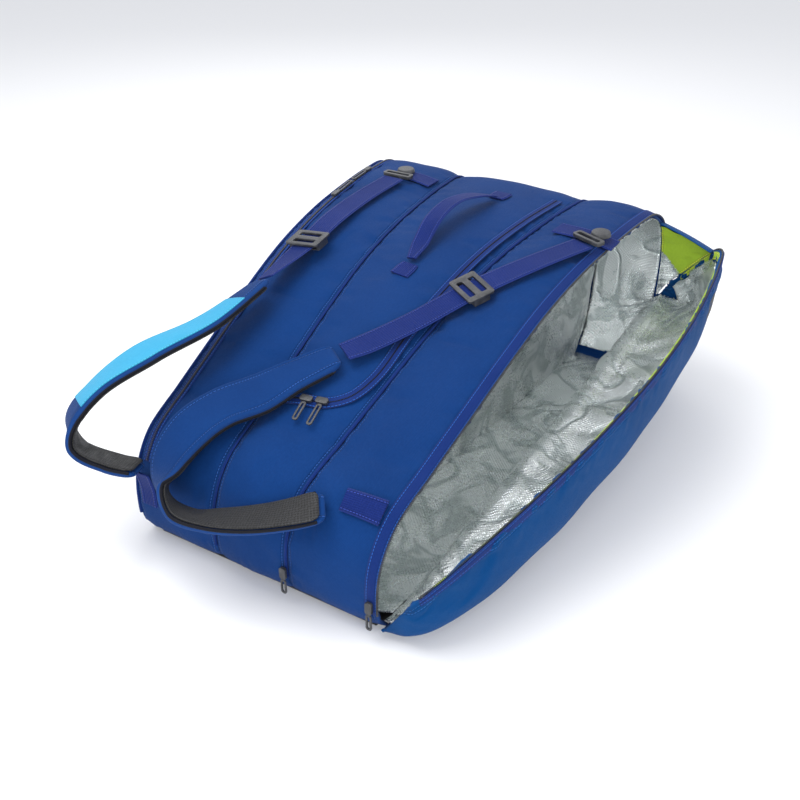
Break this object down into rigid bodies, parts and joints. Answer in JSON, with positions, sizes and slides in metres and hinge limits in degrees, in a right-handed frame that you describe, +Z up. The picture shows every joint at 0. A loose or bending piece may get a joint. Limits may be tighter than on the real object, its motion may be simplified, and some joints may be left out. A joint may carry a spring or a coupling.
{
  "type": "racket tournament bag",
  "caption": "Long padded racket bag with side-by-side compartments, padded shoulder straps, a carry handle and an insulated side compartment folded open.",
  "frame": {"origin": "centre of the base on the floor, under the middle of the bag's length and between the compartments", "axes": "+Z up, +Y along the bag towards the racket-head end, +X towards the insulated compartment that folds open"},
  "size_m": [0.6492, 0.8751, 0.3334],
  "materials": {
    "cobalt_cloth": "woven polyester over foam, matt with a slight sheen",
    "azure_cloth": "woven polyester over foam, a little brighter",
    "sky_cloth": "smooth coated polyester",
    "navy_webbing": "ribbed polyester webbing",
    "navy_tape": "zip tape with stitch lines",
    "black_mesh": "open spacer mesh",
    "black_base": "coated base cloth",
    "lining_cloth": "plain lining",
    "silver_foil": "creased metallised foil with a fine woven grid",
    "lime_binding": "folded edge binding",
    "gunmetal_plastic": "satin moulded plastic",
    "rubber_patch": "plain moulded rubber"
  },
  "bodies": {
    "bag": {"base_panel": "black_base", "left_side_panel": "cobalt_cloth", "left_gusset": "cobalt_cloth", "middle_gusset": "cobalt_cloth", "insulated_gusset": "cobalt_cloth", "centre_divider": "lining_cloth", "right_divider": "lining_cloth", "centre_piping": "navy_tape", "right_piping": "navy_tape", "right_side_lower": "azure_cloth", "head_gusset": "cobalt_cloth", "divider_lining": "silver_foil", "floor_lining": "silver_foil", "band_lining": "silver_foil", "left_zip_tape": "navy_tape", "insulated_zip_tape": "navy_tape", "middle_zip_tape": "navy_tape", "middle_zip_left_slider": "gunmetal_plastic", "seam_zip_slider": "gunmetal_plastic", "tail_zip_slider": "gunmetal_plastic", "head_zip_slider": "gunmetal_plastic", "right_strap_anchor": "navy_webbing", "left_strap_anchor": "navy_webbing", "right_swivel_tab": "navy_webbing", "right_swivel_disc": "gunmetal_plastic", "left_swivel_tab": "navy_webbing", "left_swivel_disc": "gunmetal_plastic", "handle_end_rear": "navy_webbing", "handle_end_front": "navy_webbing"},
    "left_zip_rear_slider": {"left_zip_rear_slider": "gunmetal_plastic"},
    "left_zip_rear_pull": {"left_zip_rear_pull": "gunmetal_plastic"},
    "left_zip_front_slider": {"left_zip_front_slider": "gunmetal_plastic"},
    "left_zip_front_pull": {"left_zip_front_pull": "gunmetal_plastic"},
    "middle_zip_right_slider": {"middle_zip_right_slider": "gunmetal_plastic"},
    "middle_zip_right_pull": {"middle_zip_right_pull": "gunmetal_plastic"},
    "middle_zip_left_pull": {"middle_zip_left_pull": "gunmetal_plastic"},
    "seam_zip_pull": {"seam_zip_pull": "gunmetal_plastic"},
    "tail_zip_pull": {"tail_zip_pull": "gunmetal_plastic"},
    "head_zip_pull": {"head_zip_pull": "gunmetal_plastic"},
    "flap": {"side_flap": "azure_cloth", "flap_lining": "silver_foil", "flap_binding": "lime_binding", "flap_zip_tape": "navy_tape", "flap_patch": "rubber_patch"},
    "right_strap": {"right_strap_webbing": "navy_webbing", "right_strap_pad": "cobalt_cloth", "right_strap_mesh": "black_mesh", "right_swivel_loop": "gunmetal_plastic"},
    "left_strap": {"left_strap_webbing": "navy_webbing", "left_strap_pad": "cobalt_cloth", "left_strap_mesh": "black_mesh", "left_strap_cover": "sky_cloth", "left_swivel_loop": "gunmetal_plastic"},
    "right_adjuster": {"right_adjuster": "gunmetal_plastic"},
    "left_adjuster": {"left_adjuster": "gunmetal_plastic"},
    "carry_handle": {"carry_handle": "navy_webbing"}
  },
  "joints": [
    {"name": "flap_fold", "type": "hinge", "parent": "bag", "child": "flap", "pos_m": [0.1944, -0.385, 0.011], "axis": [0.0545, 0.9872, 0.1499], "range_deg": [-29, 0], "deforming": ["head_gusset"]},
    {"name": "right_strap_lift", "type": "hinge", "parent": "bag", "child": "right_strap", "pos_m": [0.16, -0.362, 0.156], "axis": [0.1211, 0.9538, 0.2751], "range_deg": [0, 55]},
    {"name": "left_strap_lift", "type": "hinge", "parent": "bag", "child": "left_strap", "pos_m": [-0.14, -0.404, 0.126], "axis": [0, 0.9626, 0.2708], "range_deg": [0, 42]},
    {"name": "right_adjuster_slide", "type": "slide", "parent": "right_strap", "child": "right_adjuster", "axis": [-0.4942, -0.8357, -0.2395], "range_m": [-0.01, 0.01]},
    {"name": "left_adjuster_slide", "type": "slide", "parent": "left_strap", "child": "left_adjuster", "axis": [0.0482, -0.9885, -0.1435], "range_m": [-0.01, 0.01]},
    {"name": "carry_handle_swing", "type": "hinge", "parent": "bag", "child": "carry_handle", "pos_m": [-0.006, 0.014, 0.28848], "axis": [0.0615, 0.9929, 0.1021], "range_deg": [-32, 38]},
    {"name": "left_zip_rear_slide", "type": "slide", "parent": "bag", "child": "left_zip_rear_slider", "axis": [-0.1093, 0.9915, 0.0708], "range_m": [-0.04, 0]},
    {"name": "left_zip_rear_pull_swing", "type": "hinge", "parent": "left_zip_rear_slider", "child": "left_zip_rear_pull", "pos_m": [-0.22843, 0.15876, 0.30011], "axis": [0.994, 0.1091, 0.0078], "range_deg": [0, 60]},
    {"name": "left_zip_front_slide", "type": "slide", "parent": "bag", "child": "left_zip_front_slider", "axis": [0.1093, -0.994, -0.0098], "range_m": [-0.02, 0]},
    {"name": "left_zip_front_pull_swing", "type": "hinge", "parent": "left_zip_front_slider", "child": "left_zip_front_pull", "pos_m": [-0.24019, 0.25503, 0.30322], "axis": [-0.994, -0.1093, -0.0011], "range_deg": [0, 60]},
    {"name": "middle_zip_right_slide", "type": "slide", "parent": "bag", "child": "middle_zip_right_slider", "axis": [-0.9937, -0.1046, -0.0392], "range_m": [-0.01, 0]},
    {"name": "middle_zip_right_pull_swing", "type": "hinge", "parent": "middle_zip_right_slider", "child": "middle_zip_right_pull", "pos_m": [0.02056, -0.24846, 0.19839], "axis": [-0.9936, -0.1054, -0.0395], "range_deg": [0, 60]},
    {"name": "middle_zip_left_pull_swing", "type": "hinge", "parent": "bag", "child": "middle_zip_left_pull", "pos_m": [-0.00044, -0.25246, 0.1973], "axis": [-0.9936, -0.1054, -0.0395], "range_deg": [0, 60]},
    {"name": "seam_zip_pull_swing", "type": "hinge", "parent": "bag", "child": "seam_zip_pull", "pos_m": [0.061, -0.3933, 0.041], "axis": [-1, 0, 0], "range_deg": [0, 60]},
    {"name": "tail_zip_pull_swing", "type": "hinge", "parent": "bag", "child": "tail_zip_pull", "pos_m": [0.182, -0.3918, 0.043], "axis": [-1, 0, 0], "range_deg": [0, 60]},
    {"name": "head_zip_pull_swing", "type": "hinge", "parent": "bag", "child": "head_zip_pull", "pos_m": [0.22462, 0.41414, 0.22709], "axis": [1, 0, 0], "range_deg": [0, 60]}
  ]
}
